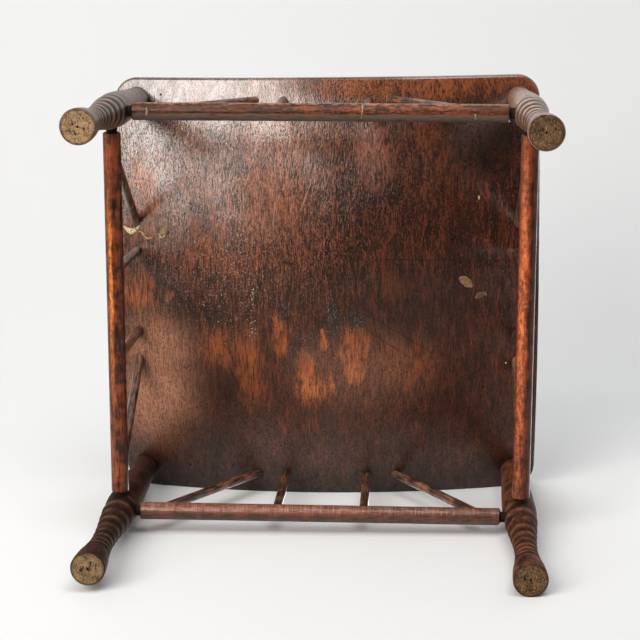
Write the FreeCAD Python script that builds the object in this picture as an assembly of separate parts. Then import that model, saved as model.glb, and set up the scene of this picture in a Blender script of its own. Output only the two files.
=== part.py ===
import FreeCAD, Part
import math
import os

from FreeCAD import Vector

# Low square stool: a dished seat board on four turned legs, four round stretchers,
# and on each side two uprights and two slanting braces between stretcher and seat.
# Frame: origin on the floor under the middle of the seat, +Z up, -Y the front side.
# Lengths are in millimetres and angles in degrees.

# Seat board, a slice of a hollow ball with a rounded square outline
SEAT_SIDE = 420.0
SEAT_CORNER_R = 22.0
SEAT_THICK = 14.0
SEAT_DISH_R = 700.0
SEAT_RIM_R = 3.0

# Old nail holes in the underside: side in X, side in Y, inset from each edge
NAIL_HOLES = ((1, 1, 48.0, 16.0), (1, -1, 68.0, 27.0), (-1, 1, 80.0, 22.0), (-1, -1, 54.0, 114.0))
NAIL_HOLE_DIA = 2.2
NAIL_HOLE_DEPTH = 5.0

# Legs, measured along their axes from the floor
LEG_HEIGHT = 313.0
LEG_INSET = 21.8
LEG_TOP_DIA = 24.0
LEG_SWELL_DIA = 32.0
LEG_WAIST_DIA = 20.8
LEG_FOOT_DIA = 30.2
WAIST_HEIGHT = 66.0
SWELL_ABOVE_STRETCHER = 8.0
FOOT_BEVEL = 0.8
LATHE_MARK_DIA = 2.4
LATHE_MARK_DEPTH = 2.5

# Ring turning between stretcher and foot: grooves that draw closer towards the floor
GROOVE_COUNT = 9
GROOVE_TOP_DROP = 9.5
GROOVE_LOW_HEIGHT = 36.0
GROOVE_PITCH_RATIO = 0.91
GROOVE_DEPTH = 1.2

# Points that guide the leg's smooth stretches below and above the ring turning
FOOT_CURVE_STEPS = 4
SHAFT_CURVE_STEPS = 9

# The frame sits slightly askew under the seat, and its feet are turned a little further
FRAME_TURN = 0.37
FRAME_TWIST = 0.70

# Stretchers
STRETCHER_HEIGHT = 162.0
STRETCHER_DIA = 16.2
SHOULDER_BEVEL = 1.2
SHOULDER_GAP = 2.8

# Uprights and braces, measured along the side they stand in
SPINDLE_DIA = 8.5
UPRIGHT_OFFSET = 41.0
BRACE_TOP_GAP = 28.5
BRACE_LOW_INSET = 33.5

# Joints: round tenons and pegs in blind sockets
LEG_TENON_DIA = 14.0
STRETCHER_TENON_DIA = 10.0
TENON_WEB = 1.2
PEG_REACH = 0.5
SOCKET_FIT = 0.1
SOCKET_END_GAP = 0.3

# The four sides and the leg at the end of each, going round from the right
SIDES = ("right", "back", "left", "front")
CORNERS = ("back_right", "back_left", "front_left", "front_right")
QUARTER = 90.0
UP = Vector(0, 0, 1)
ORIGIN = Vector(0, 0, 0)


def turn_point(point, degrees):
    """The point turned about the stool's upright axis."""
    return FreeCAD.Rotation(UP, degrees).multVec(point)


def turn_shape(shape, degrees):
    """A copy of the shape turned about the stool's upright axis."""
    turned = shape.copy()
    turned.rotate(ORIGIN, UP, degrees)
    return turned


def rod(start, end, dia):
    """A round rod between two points."""
    axis = end - start
    return Part.makeCylinder(dia / 2, axis.Length, start, axis)


def socket(start, end, dia):
    """The hole that a rod between two points is glued into."""
    reach = (end - start).normalize() * SOCKET_END_GAP
    return rod(start - reach, end + reach, dia + 2 * SOCKET_FIT)


# Leg axis of the back right corner, and the ball that the seat's underside follows
LEG_REACH = SEAT_SIDE / 2 - LEG_INSET
LEG_FOOT = turn_point(Vector(LEG_REACH, LEG_REACH, 0), FRAME_TURN + FRAME_TWIST)
LEG_TOP = turn_point(Vector(LEG_REACH, LEG_REACH, LEG_HEIGHT), FRAME_TURN)
DISH_CENTRE = Vector(0, 0, LEG_HEIGHT + math.sqrt(SEAT_DISH_R**2 - 2 * LEG_REACH**2))
SWELL_HEIGHT = STRETCHER_HEIGHT + SWELL_ABOVE_STRETCHER


def on_leg(height):
    """The point of the back right leg's axis at a height."""
    return LEG_FOOT + (LEG_TOP - LEG_FOOT) * (height / LEG_HEIGHT)


def under_seat(x, y):
    """The point of the seat's underside above a place in plan."""
    drop = math.sqrt(SEAT_DISH_R**2 - x**2 - y**2)
    return Vector(x, y, DISH_CENTRE.z - drop)


def into_seat(start, towards):
    """Where a peg that runs from start through a point of the underside ends in the board."""
    along = (towards - start).normalize()
    offset = start - DISH_CENTRE
    inward = offset.dot(along)
    radius = SEAT_DISH_R - PEG_REACH * SEAT_THICK
    return start - along * (inward + math.sqrt(inward**2 - offset.dot(offset) + radius**2))


# The leg's turned outline: half waves between the foot, the waist, the swell and the top
LEG_STATIONS = (
    (0.0, LEG_FOOT_DIA / 2),
    (WAIST_HEIGHT, LEG_WAIST_DIA / 2),
    (SWELL_HEIGHT, LEG_SWELL_DIA / 2),
    (LEG_HEIGHT, LEG_TOP_DIA / 2),
)


def leg_radius(height):
    """Radius of the leg's outline, straight on beyond its two ends."""
    if height <= 0:
        return LEG_FOOT_DIA / 2
    for (low, low_r), (high, high_r) in zip(LEG_STATIONS, LEG_STATIONS[1:]):
        if height <= high:
            wave = (1 - math.cos(math.pi * (height - low) / (high - low))) / 2
            return low_r + (high_r - low_r) * wave
    return LEG_TOP_DIA / 2


def groove_heights():
    """Heights of the grooves from the highest down, each pitch a fixed share of the one above."""
    first = STRETCHER_HEIGHT - GROOVE_TOP_DROP
    shares = [GROOVE_PITCH_RATIO**i for i in range(GROOVE_COUNT - 1)]
    pitch = (first - GROOVE_LOW_HEIGHT) / sum(shares)
    return [first - pitch * sum(shares[:i]) for i in range(GROOVE_COUNT)]


def outline_point(height, inset=0.0):
    """A point of the leg's outline in the XZ plane, cut in by an inset."""
    return Vector(leg_radius(height) - inset, 0, height)


def smooth_edge(low, high, low_inset, high_inset, steps):
    """A curve along the outline between two heights, with its ends cut in."""
    heights = [low + (high - low) * i / steps for i in range(steps + 1)]
    points = [outline_point(h) for h in heights]
    points[0] = outline_point(low, low_inset)
    points[-1] = outline_point(high, high_inset)
    curve = Part.BSplineCurve()
    curve.interpolate(points)
    return curve.toShape()


def turned_leg_blank():
    """The leg as it leaves the lathe, upright on its own axis and long at both ends."""
    foot_spare = LEG_FOOT_DIA / 4
    top = LEG_HEIGHT + LEG_TOP_DIA
    grooves = groove_heights()
    bottom_axis = Vector(0, 0, -foot_spare)
    top_axis = Vector(0, 0, top)
    foot_corner = outline_point(-foot_spare)
    edges = [Part.makeLine(bottom_axis, foot_corner)]
    edges.append(Part.makeLine(foot_corner, outline_point(0)))
    edges.append(smooth_edge(0, grooves[-1], 0, GROOVE_DEPTH, FOOT_CURVE_STEPS))
    rings = list(zip(grooves[1:], grooves))
    for low, high in reversed(rings):
        crest = outline_point((low + high) / 2)
        low_end = outline_point(low, GROOVE_DEPTH)
        high_end = outline_point(high, GROOVE_DEPTH)
        edges.append(Part.Arc(low_end, crest, high_end).toShape())
    edges.append(smooth_edge(grooves[0], LEG_HEIGHT, GROOVE_DEPTH, 0, SHAFT_CURVE_STEPS))
    edges.append(Part.makeLine(outline_point(LEG_HEIGHT), outline_point(top)))
    edges.append(Part.makeLine(outline_point(top), top_axis))
    edges.append(Part.makeLine(top_axis, bottom_axis))
    return Part.Face(Part.Wire(edges)).revolve(ORIGIN, UP, 360)


def side_stretcher_axis():
    """Ends of the right stretcher's axis, on the front and the back leg's axes."""
    end = on_leg(STRETCHER_HEIGHT)
    return turn_point(end, -QUARTER), end


def stretcher_tenon_ends():
    """Ends of the right stretcher's tenons, short of the tenons that cross them in the legs."""
    start, end = side_stretcher_axis()
    stop = STRETCHER_TENON_DIA / 2 + SOCKET_FIT + TENON_WEB
    along = (end - start).normalize()
    return start + along * stop, end - along * stop


def leg_tenon_ends():
    """Ends of the back right leg's tenon: inside the leg, and in the seat board."""
    root = on_leg(LEG_HEIGHT - LEG_TOP_DIA)
    return root, into_seat(root, LEG_TOP)


def back_right_leg(dish_ball):
    """The leg with its level foot, its top scribed to the seat, its tenon and its sockets."""
    leg = turned_leg_blank()
    lean = FreeCAD.Rotation(UP, LEG_TOP - LEG_FOOT)
    leg.Placement = FreeCAD.Placement(LEG_FOOT, lean)
    floor_side = LEG_FOOT_DIA * 2
    floor_corner = LEG_FOOT - Vector(floor_side / 2, floor_side / 2, floor_side)
    leg = leg.cut(Part.makeBox(floor_side, floor_side, floor_side, floor_corner))
    rim = [e for e in leg.Edges if e.BoundBox.ZMax < FOOT_BEVEL]
    leg = leg.makeChamfer(FOOT_BEVEL, rim)
    leg = leg.cut(dish_ball)
    leg = leg.fuse(rod(*leg_tenon_ends(), LEG_TENON_DIA)).removeSplitter()
    mortise = socket(*stretcher_tenon_ends(), STRETCHER_TENON_DIA)
    mark = Part.makeCone(LATHE_MARK_DIA / 2, 0, LATHE_MARK_DEPTH, LEG_FOOT, UP)
    return leg.cut([mortise, turn_shape(mortise, QUARTER), mark])


def spindle_axes():
    """Axes of the right side's spindles by name, from the stretcher's axis into the seat."""
    start, end = side_stretcher_axis()
    middle = (start + end) * 0.5
    along = (end - start).normalize()
    brace_low = (end - start).Length / 2 - BRACE_LOW_INSET
    kinds = {
        "upright": (UPRIGHT_OFFSET, UPRIGHT_OFFSET),
        "brace": (brace_low, UPRIGHT_OFFSET + BRACE_TOP_GAP),
    }
    axes = {}
    for kind, (low_offset, top_offset) in kinds.items():
        for number, way in ((1, -1), (2, 1)):
            low = middle + along * (way * low_offset)
            plan = turn_point(Vector(LEG_REACH, way * top_offset, 0), FRAME_TURN)
            axes[f"{kind}_{number}"] = (low, into_seat(low, under_seat(plan.x, plan.y)))
    return axes


def right_stretcher():
    """The stretcher with its bevelled shoulders, tenons and the sockets of its spindles."""
    start, end = side_stretcher_axis()
    shoulder = (end - start).normalize() * (LEG_SWELL_DIA / 2 + SHOULDER_GAP)
    body = rod(start + shoulder, end - shoulder, STRETCHER_DIA)
    rims = [e for e in body.Edges if isinstance(e.Curve, Part.Circle)]
    body = body.makeChamfer(SHOULDER_BEVEL, rims)
    body = body.fuse(rod(*stretcher_tenon_ends(), STRETCHER_TENON_DIA)).removeSplitter()
    return body.cut([socket(*axis, SPINDLE_DIA) for axis in spindle_axes().values()])


def ball(radius):
    """A ball round the dish's centre, its poles level with it and away from the seat."""
    return Part.makeSphere(radius, DISH_CENTRE, Vector(0, 1, 0))


def seat_board(dish_ball):
    """The dished board with rounded rims, and the sockets of all that stands under it."""
    low = DISH_CENTRE.z - SEAT_DISH_R
    corner = Vector(-SEAT_SIDE / 2, -SEAT_SIDE / 2, low)
    block = Part.makeBox(SEAT_SIDE, SEAT_SIDE, DISH_CENTRE.z - low, corner)
    uprights = [e for e in block.Edges if e.BoundBox.ZLength > SEAT_SIDE / 2]
    block = block.makeFillet(SEAT_CORNER_R, uprights)
    board = block.common(dish_ball).cut(ball(SEAT_DISH_R - SEAT_THICK))
    rims = []
    for face in board.Faces:
        if isinstance(face.Surface, Part.Sphere):
            rims.extend(face.OuterWire.Edges)
    board = board.makeFillet(SEAT_RIM_R, rims)
    holes = []
    for k in range(len(SIDES)):
        pegs = [(*axis, SPINDLE_DIA) for axis in spindle_axes().values()]
        pegs.append((*leg_tenon_ends(), LEG_TENON_DIA))
        holes.extend(turn_shape(socket(*peg), k * QUARTER) for peg in pegs)
    for side_x, side_y, inset_x, inset_y in NAIL_HOLES:
        x = side_x * (SEAT_SIDE / 2 - inset_x)
        y = side_y * (SEAT_SIDE / 2 - inset_y)
        bottom = under_seat(x, y) + UP * NAIL_HOLE_DEPTH
        holes.append(rod(bottom - UP * 2 * NAIL_HOLE_DEPTH, bottom, NAIL_HOLE_DIA))
    return board.cut(holes)


def pieces():
    """Every piece of the stool by name."""
    dish_ball = ball(SEAT_DISH_R)
    named = {"seat_board": seat_board(dish_ball)}
    leg = back_right_leg(dish_ball)
    for k, corner in enumerate(CORNERS):
        named[f"leg_{corner}"] = turn_shape(leg, k * QUARTER)
    stretcher = right_stretcher()
    spindles = {kind: rod(*axis, SPINDLE_DIA) for kind, axis in spindle_axes().items()}
    for k, side in enumerate(SIDES):
        named[f"stretcher_{side}"] = turn_shape(stretcher, k * QUARTER)
        for kind, spindle in spindles.items():
            named[f"{side}_{kind}"] = turn_shape(spindle, k * QUARTER)
    return named


os.makedirs("parts", exist_ok=True)
for name, shape in pieces().items():
    shape.exportStep(f"parts/{name}.step")
    print(name, len(shape.Solids), shape.isValid(), round(shape.Volume, 1))
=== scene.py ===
import math

import bmesh
import bpy
import numpy as np
from mathutils import Matrix, Vector, noise


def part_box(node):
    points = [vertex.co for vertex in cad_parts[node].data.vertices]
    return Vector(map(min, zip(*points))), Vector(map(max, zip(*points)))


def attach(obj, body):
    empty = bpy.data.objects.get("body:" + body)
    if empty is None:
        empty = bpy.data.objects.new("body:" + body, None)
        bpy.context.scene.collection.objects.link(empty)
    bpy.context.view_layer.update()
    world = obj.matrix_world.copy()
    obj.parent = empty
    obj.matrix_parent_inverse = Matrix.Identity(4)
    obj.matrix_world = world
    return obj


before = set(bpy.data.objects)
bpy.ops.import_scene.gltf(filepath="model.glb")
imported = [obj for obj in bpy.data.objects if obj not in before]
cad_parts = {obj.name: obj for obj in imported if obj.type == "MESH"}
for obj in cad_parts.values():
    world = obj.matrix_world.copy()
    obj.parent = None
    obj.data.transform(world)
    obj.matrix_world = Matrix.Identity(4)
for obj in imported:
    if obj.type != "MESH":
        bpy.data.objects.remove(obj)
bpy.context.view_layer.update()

# Low stool seen from below, lying on its front edge and front feet on a pale sweep.
# Metres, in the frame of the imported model: +Z up when it stands, -Y its front.

# Camera: place, the point that it looks at, and the upward direction of the picture
CAMERA_PLACE = Vector((-0.0840, 0.3176, -1.3442))
CAMERA_TARGET = Vector((0.0027, -0.0139, 0.2186))
CAMERA_UP = Vector((-0.0112, 1.0, 0.0))
CAMERA_VIEW_ANGLE = math.radians(21.58)
CAMERA_REACH = 100.0

# Sweep that the stool lies on: where it bends up into a wall, and its sizes
SWEEP_BEND_START = 0.75
SWEEP_BEND_RADIUS = 0.45
SWEEP_NEAR = -0.6
SWEEP_WALL_HEIGHT = 3.0
SWEEP_HALF_WIDTH = 4.0
SWEEP_BEND_STEPS = 24
# Floor under the standing stool: half its side, and the distances over which it fades out
STANDING_FLOOR_HALF = 6.0
STANDING_FLOOR_FADE = (1.0, 2.6)

# Colours of the sweep's paper near the camera, under the stool and on the wall, with the depths
# between which one passes into the next; it is painted darker near the camera as shade and
# lighter under the stool as light
PAPER_NEAR_PAINTED_SHADE = (235, 237, 240)
PAPER_MIDDLE_PAINTED_LIGHT = (252, 254, 255)
PAPER_WALL = (243, 245, 247)
PAPER_NEAR_TO_MIDDLE = (-0.3, 0.2)
PAPER_MIDDLE_TO_WALL = (0.7, 1.1)
# Colours of that floor, of the dark side and of the surround, and the roughness of all stages
FLOOR_PAINT = (240, 238, 235)
DARK_CLOTH = (30, 30, 30)
STUDIO_WHITE = (252, 250, 247)
STAGE_ROUGHNESS = 0.9

# Dark side of the studio behind the camera, which only gloss shows
DARK_SIDE_DEPTH = -3.0
DARK_SIDE_HALF_WIDTH = 5.0
DARK_SIDE_HEIGHT = (-1.0, 4.5)

# Lamps: direction from the seat, distance, side and light given at the seat (1 is a plain level)
SEAT_MIDDLE = Vector((0.0, 0.0, 0.27))
KEY_LAMP = {"towards": Vector((0.455, 0.475, -0.75)), "distance": 2.3, "side": 1.5, "level": 0.85}
TOP_LAMP = {"towards": Vector((-0.15, 0.89, -0.40)), "distance": 2.3, "side": 1.6, "level": 0.46}
STANDING_LAMP = {"towards": Vector((-0.25, -0.30, 0.92)), "distance": 1.9, "side": 1.5, "level": 0.9}
# Colour and upward direction of a lamp's square, for most lamps and for the key lamp
WHITE = (1.0, 1.0, 1.0)
PART_BACK = Vector((0.0, 1.0, 0.0))
KEY_COLOUR = (1.0, 0.955, 0.905)
KEY_UP = Vector((0.55, 0.84, 0.0))
# Strength of the surround as light, and as the camera and gloss see it
WORLD_LIGHT = 0.12
WORLD_SEEN = 0.90


def srgb(red, green, blue):
    """A colour written in display values from 0 to 255, as linear RGBA."""
    channels = []
    for value in (red, green, blue):
        part = value / 255
        channels.append(part / 12.92 if part <= 0.04045 else ((part + 0.055) / 1.055) ** 2.4)
    return (*channels, 1.0)


# Colours of the stained and varnished wood
DARK_STAIN = srgb(28, 14, 9)
BROWN_STAIN = srgb(88, 43, 25)
RED_STAIN = srgb(112, 46, 22)
SPINDLE_BROWN = srgb(128, 82, 56)
PORE = srgb(18, 9, 6)
WORN_ORANGE = srgb(154, 82, 38)
# Pale wear, also used for a painted sheen on the seat and painted highlights and glints on the
# stretchers
PALE_WEAR_AND_HIGHLIGHT = srgb(182, 126, 97)
# Painted glints along the grain where the varnish catches the lamp
GRAIN_GLINT = srgb(158, 98, 66)
SCRATCH = srgb(168, 126, 106)
# Painted glints on the blisters
BLISTER_GLINT = srgb(214, 200, 190)
SOOT = srgb(24, 21, 21)
SOOT_GLINT = srgb(96, 94, 92)
HAZE = srgb(148, 94, 76)
# Near-black for cracks and the seam, and for painted shade in sheltered places, in grooves and at the
# tenons
GRIME_AND_SHADE = srgb(16, 10, 8)
# Paler crests of the legs' rings: painted highlight, partly wear
CREST_WEAR_AND_HIGHLIGHT = srgb(158, 128, 106)
# Grey film: dust, and painted reflection of the floor on the sides that face it
DUST_AND_FLOOR_REFLECTION = srgb(84, 70, 61)
PALE_FIBRE = srgb(176, 156, 120)
GLUE = srgb(222, 206, 150)
GLUE_ORANGE = srgb(206, 154, 100)
GLUE_TAN = srgb(160, 132, 88)
GLUE_BROWN = srgb(140, 106, 68)
GLUE_DARK = srgb(92, 64, 34)
PAINT = srgb(180, 156, 122)
WARM_GLOSS = (1.0, 0.76, 0.60, 1.0)

# Worn patches under the seat: middle in X and Y, half sizes, strength, softness of the edge
WORN_PATCHES = (
    ((-0.030, -0.046), (0.015, 0.018), 0.56, 0.3),
    ((-0.027, -0.062), (0.013, 0.016), 0.60, 0.3),
    ((-0.027, -0.078), (0.008, 0.011), 0.70, 0.3),
    ((0.021, -0.070), (0.009, 0.018), 0.85, 0.4),
    ((0.014, -0.095), (0.013, 0.015), 0.95, 0.4),
    ((0.044, -0.040), (0.007, 0.018), 0.60, 0.5),
    ((0.001, -0.045), (0.004, 0.007), 0.80, 0.3),
    ((-0.006, -0.090), (0.004, 0.009), 0.80, 0.3),
    ((0.076, -0.075), (0.012, 0.034), 0.50, 0.7),
    ((0.106, -0.052), (0.018, 0.018), 0.46, 0.7),
    ((0.186, 0.002), (0.014, 0.018), 0.60, 0.6),
    ((0.157, -0.002), (0.007, 0.006), 0.60, 0.4),
    ((0.114, 0.060), (0.014, 0.024), 0.45, 0.8),
    ((0.002, 0.152), (0.014, 0.024), 0.25, 0.8),
    ((0.095, 0.095), (0.070, 0.070), 0.40, 0.7),
    ((0.052, 0.140), (0.045, 0.070), 0.50, 0.7),
    ((0.178, 0.092), (0.022, 0.040), 0.55, 0.7),
    ((0.176, 0.062), (0.018, 0.012), 0.50, 0.7),
    ((-0.110, 0.205), (0.120, 0.018), 0.48, 0.7),
    ((-0.083, -0.068), (0.026, 0.024), 0.20, 0.8),
    ((-0.070, 0.010), (0.014, 0.010), 0.20, 0.8),
    ((-0.100, 0.155), (0.034, 0.034), 0.22, 0.8),
)
# Pale patches: pale wear in the middle, and a painted sheen near the +X side towards the front
PALE_WEAR_AND_SHEEN_PATCHES = (
    ((0.168, -0.062), (0.028, 0.034), 0.66, 1.0),
    ((0.167, -0.108), (0.034, 0.040), 0.78, 1.0),
    ((0.016, -0.088), (0.008, 0.013), 0.15, 0.6),
    ((-0.022, -0.076), (0.042, 0.034), 0.20, 1.0),
    ((-0.056, -0.074), (0.032, 0.030), 0.15, 1.0),
)
# Dark patches: dark stain, and painted shadow cast by the legs and spindles on the seat
DARK_STAIN_AND_SHADOW_PATCHES = (
    ((-0.152, 0.152), (0.034, 0.030), 0.85, 0.7),
    ((0.116, -0.148), (0.042, 0.030), 0.60, 0.9),
    ((-0.130, -0.120), (0.040, 0.050), 0.35, 0.8),
    ((-0.095, -0.010), (0.075, 0.040), 0.50, 0.8),
    ((0.116, -0.106), (0.030, 0.028), 0.55, 0.9),
    ((0.125, -0.005), (0.040, 0.025), 0.40, 0.8),
    ((0.030, 0.010), (0.060, 0.030), 0.15, 0.8),
    ((-0.073, -0.160), (0.034, 0.022), 0.40, 0.9),
)
# Where the varnish is dull in the back half of the seat
DULL_PATCHES = (
    ((-0.022, 0.206), (0.060, 0.020), 0.85, 0.5),
    ((-0.010, 0.150), (0.028, 0.045), 0.55, 0.6),
    ((0.055, 0.110), (0.045, 0.034), 0.72, 0.7),
    ((0.140, 0.142), (0.024, 0.024), 0.42, 0.7),
)
# Where the grain has painted glints, lighter streaks where the varnish catches the lamp
GRAIN_GLINT_PATCHES = (((0.085, 0.105), (0.120, 0.100), 0.40, 0.6),)
# Grey film near the front edge: painted reflection of the floor, with dust
DUST_AND_REFLECTION_PATCHES = (
    ((0.030, -0.150), (0.110, 0.036), 0.20, 0.8),
    ((-0.100, -0.170), (0.080, 0.020), 0.10, 0.8),
)
SOOT_PATCHES = (
    ((-0.0075, -0.020), (0.008, 0.018), 0.90, 0.4),
    ((-0.0295, -0.0245), (0.0105, 0.008), 0.85, 0.4),
    ((0.0415, -0.013), (0.0045, 0.011), 0.55, 0.6),
    ((0.0240, -0.052), (0.010, 0.022), 0.55, 0.6),
)
HAZE_PATCHES = (((-0.048, 0.140), (0.018, 0.028), 0.60, 0.7),)
# Blistered varnish: the area that has a few blisters, and the lines that are full of them; the
# blisters get painted glints
BLISTER_PATCHES = (((0.105, 0.012), (0.050, 0.052), 0.50, 0.7),)
BLISTER_LINES = (
    ((0.086, 0.096), (0.077, 0.032)),
    ((0.082, 0.030), (0.084, -0.014)),
    ((0.070, 0.028), (0.072, -0.040)),
)
BLISTER_HALF_WIDTH = 0.007
# Mean of the seat's grain, from which its stain grows darker and lighter
SEAT_MEAN_TONE = 0.692
# Old varnish is whole above the first Y and rubbed dull below the second
VARNISH_EDGE = (0.065, -0.03)
# Towards the front edge some of it is left
FRONT_VARNISH = (-0.09, -0.17)

# Scratches under the seat, from one point to another in X and Y
SCRATCHES = (
    ((0.008, 0.128), (0.016, 0.101)),
    ((0.016, 0.101), (0.030, 0.071)),
    ((0.033, 0.132), (0.037, 0.110)),
    ((0.037, 0.110), (0.048, 0.090)),
    ((0.048, 0.090), (0.050, 0.070)),
    ((0.065, 0.151), (0.076, 0.110)),
    ((-0.005, 0.095), (0.000, 0.087)),
)
SCRATCH_HALF_WIDTH = 0.0006
# A faint dark seam across the board
SEAM = ((-0.020, 0.038), (-0.183, 0.032))
SEAM_HALF_WIDTH = 0.0012
# Fine cracks in the varnish
CRACKS = (
    ((-0.004, -0.003), (-0.052, -0.024)),
    ((-0.052, -0.024), (-0.103, -0.057)),
    ((-0.019, -0.018), (-0.083, -0.062)),
    ((0.022, 0.010), (0.006, -0.036)),
    ((0.100, 0.140), (0.084, 0.088)),
    ((0.084, 0.088), (0.074, 0.020)),
)
CRACK_HALF_WIDTH = 0.0008

# Stretchers: dark and light stain, the side that faces the lamps, the edges of the part of it
# that is painted lighter, partly wear, and its colour, the noise where its flames begin and where
# they are full, how much of it is left between them, their width as a share of their length,
# where that part ends along the piece (axis, from, to, how far it fades, the least), how strong
# the painted highlight along its edge is, the grey, dusty film on the rest, which is also painted
# reflection of the floor, the depth of the lathe rings, which also sets their painted glints, and the
# gloss
STRETCHER_FINISH = {
    "stretcher_right": {
        "stain": (srgb(26, 13, 9), srgb(116, 53, 30)),
        "side": Vector((1, 0, 0)),
        "begin": (0.00, 0.24),
        "stop": (0.70, 0.42),
        "lit_and_rubbed": srgb(212, 122, 44),
        "flame": (0.44, 0.715),
        "even": 0.15,
        "draw": 0.12,
        "reach": (1, -0.05, 0.10, 0.04, 0.12),
        "rim": 0.0,
        "dust_and_reflection": 0.0,
        "rings": 0.15,
        "gloss": 0.15,
    },
    "stretcher_back": {
        "stain": (srgb(20, 11, 8), srgb(56, 27, 15)),
        "side": Vector((0, 1, 0)),
        "begin": (-0.16, -0.08),
        "stop": (1.40, 1.20),
        "lit_and_rubbed": srgb(126, 62, 26),
        "flame": (0.46, 0.74),
        "even": 0.0,
        "draw": 0.18,
        "reach": (0, -0.17, 0.03, 0.07, 0.45),
        "rim": 0.45,
        "dust_and_reflection": 0.9,
        "rings": 0.05,
        "gloss": 0.12,
    },
    "stretcher_left": {
        "stain": (srgb(24, 12, 8), srgb(92, 42, 23)),
        "side": Vector((1, 0, 0)),
        "begin": (-0.40, 0.40),
        "stop": (1.10, 0.60),
        "lit_and_rubbed": srgb(214, 110, 62),
        "flame": (0.44, 0.69),
        "even": 0.15,
        "draw": 0.40,
        "reach": (1, -0.10, 0.10, 0.09, 0.25),
        "rim": 0.0,
        "dust_and_reflection": 0.0,
        "rings": 0.2,
        "gloss": 0.15,
    },
    "stretcher_front": {
        "stain": (srgb(22, 12, 9), srgb(84, 44, 27)),
        "side": Vector((0, 1, 0)),
        "begin": (0.00, 0.20),
        "stop": (1.40, 1.20),
        "lit_and_rubbed": srgb(106, 56, 38),
        "flame": (0.44, 0.59),
        "even": 0.70,
        "draw": 0.30,
        "reach": (0, -0.04, 0.17, 0.10, 0.35),
        "rim": 0.2,
        "dust_and_reflection": 0.3,
        "rings": 0.48,
        "gloss": 0.45,
    },
}
# Radius of the stretchers' tenons, which are painted near-black as the shade in the gaps at their
# shoulders, and how far above it the stain begins
TENON_RADIUS = 0.0062
TENON_MARGIN = 0.0006

# Legs: dark and light stain, the bare end grain of the foot, dark and light, the gloss of the
# varnish and of the wood below it, how much rougher that wood is, how dark the painted shade in
# its grooves is and how pale the crests between them, as painted highlight and wear
LEG_FINISH = {
    "leg_back_right": {
        "stain": (srgb(38, 24, 17), srgb(104, 70, 50)),
        "end": (srgb(70, 52, 33), srgb(142, 114, 83)),
        "gloss": 0.36,
        "wood_gloss": 0.25,
        "rough": 0.0,
        "grime": 1.0,
        "crest": 0.55,
    },
    "leg_back_left": {
        "stain": (srgb(54, 32, 22), srgb(146, 102, 72)),
        "end": (srgb(34, 23, 11), srgb(95, 69, 42)),
        "gloss": 0.75,
        "wood_gloss": 0.25,
        "rough": 0.0,
        "grime": 1.0,
        "crest": 0.55,
    },
    "leg_front_left": {
        "stain": (srgb(30, 17, 12), srgb(104, 58, 38)),
        "end": (srgb(38, 28, 18), srgb(100, 76, 52)),
        "gloss": 0.0,
        "wood_gloss": 0.08,
        "rough": 0.35,
        "grime": 0.6,
        "crest": 0.15,
    },
    "leg_front_right": {
        "stain": (srgb(25, 15, 11), srgb(68, 41, 29)),
        "end": (srgb(50, 39, 27), srgb(122, 98, 72)),
        "gloss": 0.0,
        "wood_gloss": 0.08,
        "rough": 0.35,
        "grime": 0.6,
        "crest": 0.15,
    },
}
# Turned grooves: the highest, the pitch below it, each pitch's share of the one above, the count
GROOVE_TOP = 0.1525
GROOVE_PITCH = 0.0198
GROOVE_SHARE = 0.91
GROOVE_COUNT = 9

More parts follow.
